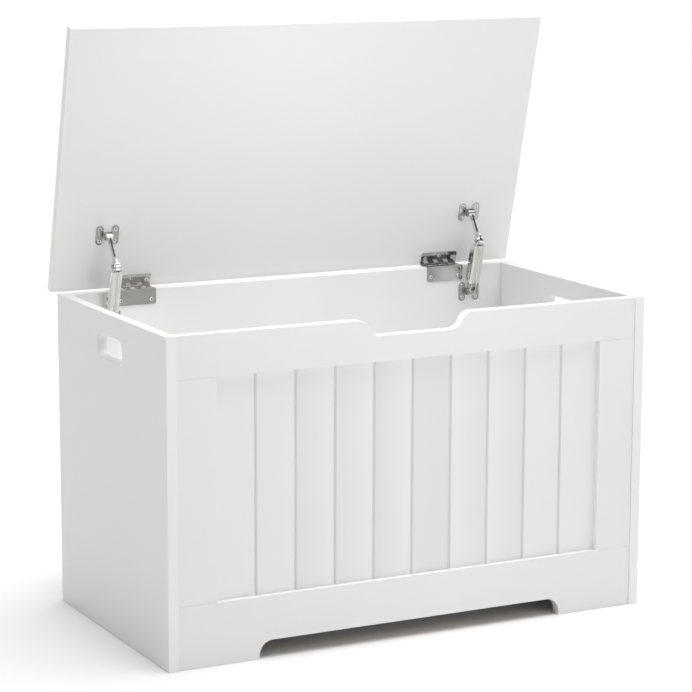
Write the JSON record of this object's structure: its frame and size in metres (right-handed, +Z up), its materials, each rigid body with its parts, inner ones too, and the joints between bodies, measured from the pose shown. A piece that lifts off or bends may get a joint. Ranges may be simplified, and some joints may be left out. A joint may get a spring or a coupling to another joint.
{
  "type": "wooden toy box",
  "caption": "White lacquered wooden toy chest with a beadboard front, handle holes in both sides, and a slab lid held open by hinged friction stays.",
  "frame": {"origin": "middle of the back panel's foot, on the floor", "axes": "+X to the right seen from the front, +Y towards the back, +Z up; lid at its open stop"},
  "size_m": [0.76, 0.4137, 0.842],
  "materials": {
    "white_lacquer": "satin white lacquer on fibreboard",
    "bare_timber": "bare sawn timber",
    "nickel": "bright nickel-plated steel",
    "zinc": "zinc-plated steel",
    "friction_pad": "dark moulded nylon",
    "clear_bumper": "translucent soft polymer"
  },
  "bodies": {
    "box": {"left_side_panel": "white_lacquer", "right_side_panel": "white_lacquer", "back_panel": "white_lacquer", "floor_panel": "white_lacquer", "front_top_rail": "white_lacquer", "front_bottom_rail": "white_lacquer", "left_stile": "white_lacquer", "right_stile": "white_lacquer", "beadboard_panel": "white_lacquer", "front_cleat": "bare_timber", "back_cleat": "bare_timber", "cleat_screws": "zinc", "wood_dowels": "bare_timber", "cam_bolts": "zinc", "cam_locks": "zinc", "lid_bumpers": "clear_bumper", "left_hinge_body_leaf": "nickel", "right_hinge_body_leaf": "nickel", "left_hinge_pin": "nickel", "right_hinge_pin": "nickel", "hinge_body_screws": "nickel", "left_stay_back_bracket": "nickel", "right_stay_back_bracket": "nickel", "stay_back_pins": "nickel", "stay_back_screws": "nickel"},
    "lid": {"lid_panel": "white_lacquer", "left_hinge_lid_leaf": "nickel", "right_hinge_lid_leaf": "nickel", "hinge_lid_screws": "nickel", "left_stay_lid_bracket": "nickel", "right_stay_lid_bracket": "nickel", "stay_lid_pins": "nickel", "stay_lid_screws": "nickel"},
    "left_stay": {"left_stay_channel": "nickel", "left_stay_cover": "nickel", "left_stay_rivets": "nickel", "left_stay_spring": "zinc", "left_friction_shoe": "friction_pad"},
    "right_stay": {"right_stay_channel": "nickel", "right_stay_cover": "nickel", "right_stay_rivets": "nickel", "right_stay_spring": "zinc", "right_friction_shoe": "friction_pad"},
    "left_arm": {"left_stay_arm": "nickel", "left_elbow_pin": "nickel"},
    "right_arm": {"right_stay_arm": "nickel", "right_elbow_pin": "nickel"}
  },
  "joints": [
    {"name": "lid_hinge", "type": "hinge", "parent": "box", "child": "lid", "pos_m": [0, 0.0109, 0.4535], "axis": [1, 0, 0], "range_deg": [0, 76]},
    {"name": "left_stay_pivot", "type": "hinge", "parent": "box", "child": "left_stay", "pos_m": [-0.3, -0.0145, 0.414], "axis": [1, 0, 0], "range_deg": [0, 76]},
    {"name": "left_arm_pivot", "type": "hinge", "parent": "lid", "child": "left_arm", "pos_m": [-0.3, -0.01243, 0.5359], "axis": [1, 0, 0], "range_deg": [-76, 0]},
    {"name": "right_stay_pivot", "type": "hinge", "parent": "box", "child": "right_stay", "pos_m": [0.3, -0.0145, 0.414], "axis": [1, 0, 0], "range_deg": [0, 76]},
    {"name": "right_arm_pivot", "type": "hinge", "parent": "lid", "child": "right_arm", "pos_m": [0.3, -0.01243, 0.5359], "axis": [1, 0, 0], "range_deg": [-76, 0]}
  ],
  "couplings": [
    {"joint": "left_stay_pivot", "follows": "lid_hinge", "ratio": 1},
    {"joint": "left_arm_pivot", "follows": "lid_hinge", "ratio": -1},
    {"joint": "right_stay_pivot", "follows": "lid_hinge", "ratio": 1},
    {"joint": "right_arm_pivot", "follows": "lid_hinge", "ratio": -1}
  ]
}
